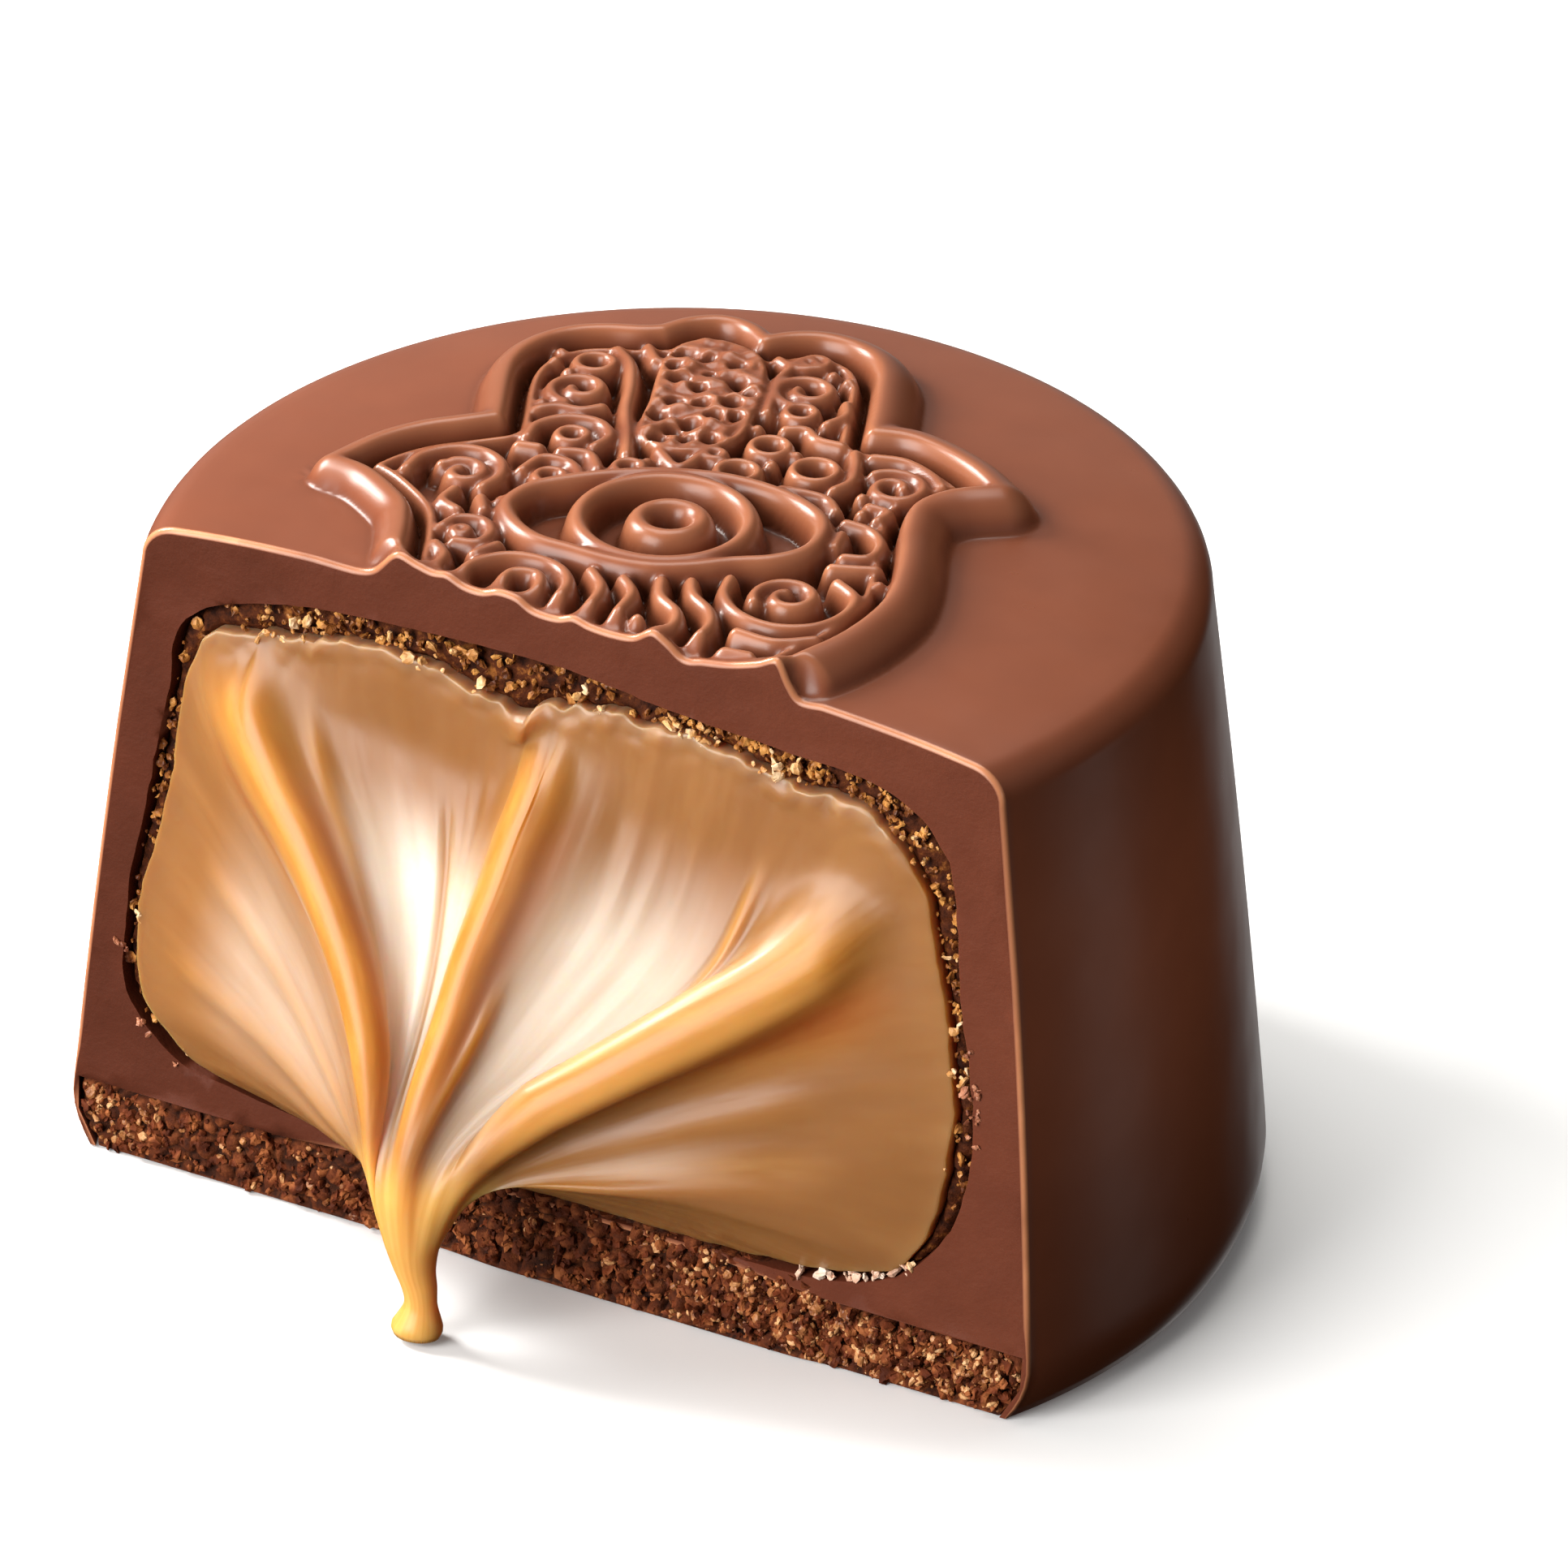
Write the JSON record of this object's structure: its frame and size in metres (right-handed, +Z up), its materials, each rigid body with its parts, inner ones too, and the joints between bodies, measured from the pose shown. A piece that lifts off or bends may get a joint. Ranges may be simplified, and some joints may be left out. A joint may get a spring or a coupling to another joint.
{
  "type": "chocolate truffle",
  "caption": "Round moulded chocolate truffle cut open, with an ornamental open hand in relief on top and a caramel filling drawn into folds and a drip.",
  "frame": {"origin": "under the middle of the round top, at the level of the underside, on the surface that the truffle stands on", "axes": "+Z up, -Y out of the cut face, +X to the right of a viewer who looks at the cut face"},
  "size_m": [0.0317, 0.0289, 0.0208],
  "materials": {
    "milk_chocolate": "satin",
    "cocoa_crumb": "matte",
    "toffee_crumb": "matte",
    "caramel_cream": "gloss"
  },
  "bodies": {
    "root": {"shell": "milk_chocolate", "base": "cocoa_crumb", "lining": "toffee_crumb", "filling": "caramel_cream"}
  },
  "joints": []
}
